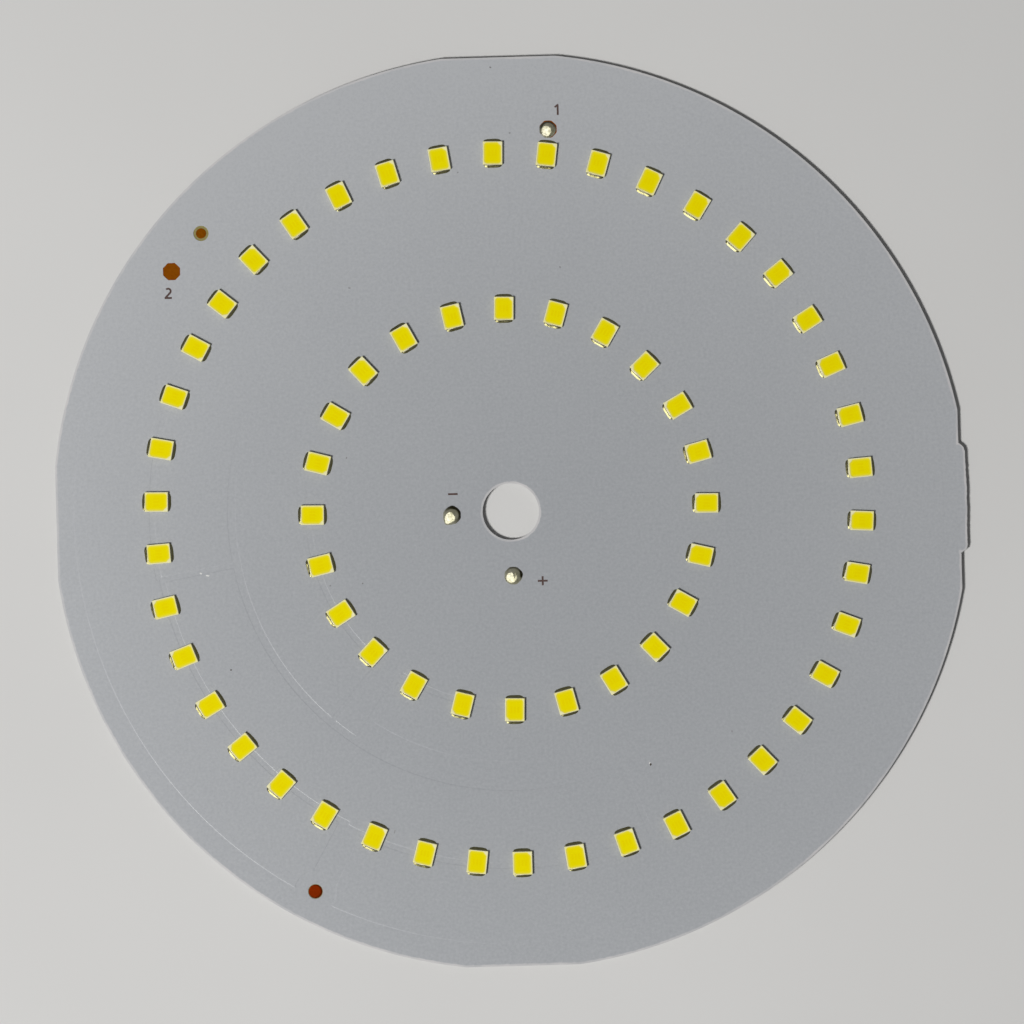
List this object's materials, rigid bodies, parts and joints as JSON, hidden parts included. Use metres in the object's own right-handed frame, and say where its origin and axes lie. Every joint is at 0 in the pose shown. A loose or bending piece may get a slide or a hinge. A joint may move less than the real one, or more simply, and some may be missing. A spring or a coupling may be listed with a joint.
{
  "type": "led module board",
  "caption": "Round aluminium-core board with two rings of yellow surface-mounted LEDs, a centre hole, solder domes and test pads.",
  "frame": {"origin": "centre of the round centre hole at the board's back face", "axes": "+Z along the hole's axis out of the LED side, +X towards the flat with the broken-off tab stub, +Y towards the test pad marked 1"},
  "size_m": [0.1293, 0.129, 0.002],
  "materials": {
    "aluminium_plate": "brushed, sheared edge",
    "insulation": "matte, hidden but for its edge",
    "copper_foil": "bare copper, tarnished brown where it shows",
    "white_mask": "satin white mask",
    "dark_ink": "matte ink",
    "wire_pad_solder": "bright solder",
    "led_solder": "bright solder",
    "led_case": "satin",
    "phosphor": "smooth silicone fill",
    "led_leads": "plated",
    "led_chips": "polished",
    "bond_wire": "bright"
  },
  "bodies": {
    "root": {"base_plate": "aluminium_plate", "insulating_layer": "insulation", "foil_plus": "copper_foil", "foil_link_01": "copper_foil", "foil_link_02": "copper_foil", "foil_link_03": "copper_foil", "foil_link_04": "copper_foil", "foil_link_05": "copper_foil", "foil_link_06": "copper_foil", "foil_link_07": "copper_foil", "foil_link_08": "copper_foil", "foil_link_09": "copper_foil", "foil_link_10": "copper_foil", "foil_minus": "copper_foil", "locating_dots": "copper_foil", "solder_mask": "white_mask", "printed_marks": "dark_ink", "solder_plus": "wire_pad_solder", "solder_minus": "wire_pad_solder", "solder_test_pad": "wire_pad_solder", "cases_bank_01": "led_case", "cases_bank_02": "led_case", "cases_bank_03": "led_case", "cases_bank_04": "led_case", "cases_bank_05": "led_case", "cases_bank_06": "led_case", "cases_bank_07": "led_case", "cases_bank_08": "led_case", "cases_bank_09": "led_case", "cases_bank_10": "led_case", "cases_bank_11": "led_case", "phosphors_bank_01": "phosphor", "phosphors_bank_02": "phosphor", "phosphors_bank_03": "phosphor", "phosphors_bank_04": "phosphor", "phosphors_bank_05": "phosphor", "phosphors_bank_06": "phosphor", "phosphors_bank_07": "phosphor", "phosphors_bank_08": "phosphor", "phosphors_bank_09": "phosphor", "phosphors_bank_10": "phosphor", "phosphors_bank_11": "phosphor", "anode_leads_inner": "led_leads", "anode_leads_outer": "led_leads", "cathode_leads_inner": "led_leads", "cathode_leads_outer": "led_leads", "chips_inner": "led_chips", "chips_outer": "led_chips", "bond_wires_inner": "bond_wire", "bond_wires_outer": "bond_wire", "led_solder_inner": "led_solder", "led_solder_outer": "led_solder"}
  },
  "joints": []
}
